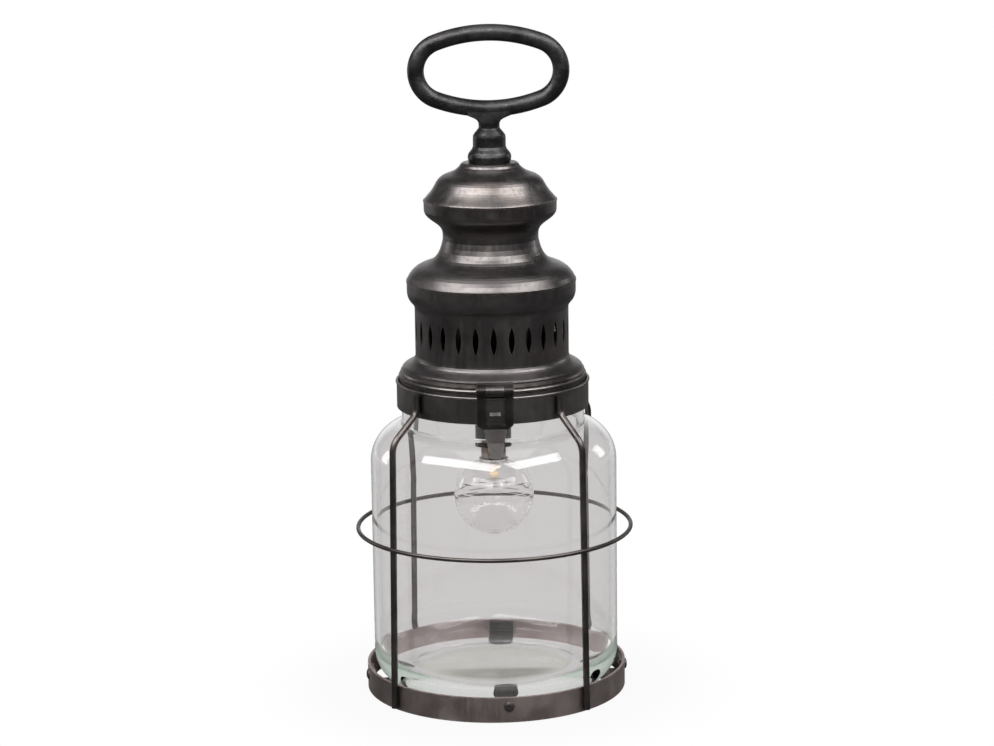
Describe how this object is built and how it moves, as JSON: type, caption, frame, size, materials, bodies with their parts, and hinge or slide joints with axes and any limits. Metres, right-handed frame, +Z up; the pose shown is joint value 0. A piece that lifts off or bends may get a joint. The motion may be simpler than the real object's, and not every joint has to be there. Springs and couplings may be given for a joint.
{
  "type": "lantern table lamp",
  "caption": "Round wire-caged glass jar lantern with a hinged vented cap, oval carrying handle, front clasp and a battery lamp with a clear bulb.",
  "frame": {"origin": "centre of the base ring on the ground", "axes": "+Z up, the clasp faces -Y, the hinge +Y, the handle's oval lies in the XZ plane"},
  "size_m": [0.1598, 0.1598, 0.3834],
  "materials": {
    "iron": "satin",
    "dark_iron": "satin",
    "base_iron": "satin",
    "jar_glass": "gloss",
    "bulb_clear": "gloss",
    "felt": "matte",
    "steel": "satin",
    "black_plastic": "matte",
    "pale_plastic": "matte",
    "brass": "satin",
    "aged_brass": "satin",
    "lead_sleeve": "matte",
    "cell_sleeve": "gloss",
    "board_green": "satin",
    "led_lens": "gloss"
  },
  "bodies": {
    "lantern": {"base_ring": "base_iron", "glass_tabs": "dark_iron", "tab_rivets": "dark_iron", "rod_front_left": "iron", "rod_front_right": "iron", "rod_back_left": "iron", "rod_back_right": "iron", "guard_ring": "iron", "cage_band": "iron", "glass_jar": "jar_glass", "jar_bottom": "jar_glass", "jar_shoulder": "jar_glass", "jar_neck": "jar_glass", "jar_gasket": "felt", "lamp_deck": "dark_iron", "deck_screws": "steel", "lampholder": "black_plastic", "thread_insert": "brass", "centre_contact": "brass", "lamp_leads": "lead_sleeve", "battery_box": "black_plastic", "contact_springs": "steel", "batteries": "cell_sleeve", "control_board": "board_green", "switch_body": "black_plastic", "hinge_lower_leaf": "dark_iron", "hinge_rivets": "dark_iron", "hinge_pin": "dark_iron", "latch_nose": "dark_iron"},
    "cap": {"vented_drum": "iron", "cap_shoulder": "iron", "cap_dome": "iron", "handle": "dark_iron", "handle_washer": "steel", "handle_nut": "steel", "hinge_upper_leaf": "dark_iron", "hasp_leaf": "dark_iron", "hasp_pin": "dark_iron"},
    "hasp": {"hasp_strap": "iron"},
    "battery_lid": {"battery_cover": "black_plastic", "contact_plates": "brass"},
    "switch_knob": {"switch_slider": "pale_plastic"},
    "bulb": {"bulb_glass": "bulb_clear", "bulb_cap": "aged_brass", "bulb_insulator": "black_plastic", "bulb_contact": "steel", "led": "led_lens", "led_leads": "steel"}
  },
  "joints": [
    {"name": "cap_hinge", "type": "hinge", "parent": "lantern", "child": "cap", "pos_m": [0, 0.0579, 0.1864], "axis": [-1, 0, 0], "range_deg": [0, 95]},
    {"name": "hasp_swing", "type": "hinge", "parent": "cap", "child": "hasp", "pos_m": [0, -0.0579, 0.1864], "axis": [-1, 0, 0], "range_deg": [0, 171]},
    {"name": "battery_lid_twist", "type": "hinge", "parent": "lantern", "child": "battery_lid", "pos_m": [0, 0, 0.2378], "axis": [0, 0, 1], "range_deg": [0, 30]},
    {"name": "switch_slide", "type": "slide", "parent": "lantern", "child": "switch_knob", "axis": [1, 0, 0], "range_m": [0, 0.004]},
    {"name": "bulb_turn", "type": "hinge", "parent": "lantern", "child": "bulb", "pos_m": [0, 0, 0.15], "axis": [0, 0, -1], "range_deg": [0, 360]}
  ],
  "couplings": [
    {"joint": "hasp_swing", "follows": "cap_hinge", "ratio": 1.8}
  ]
}
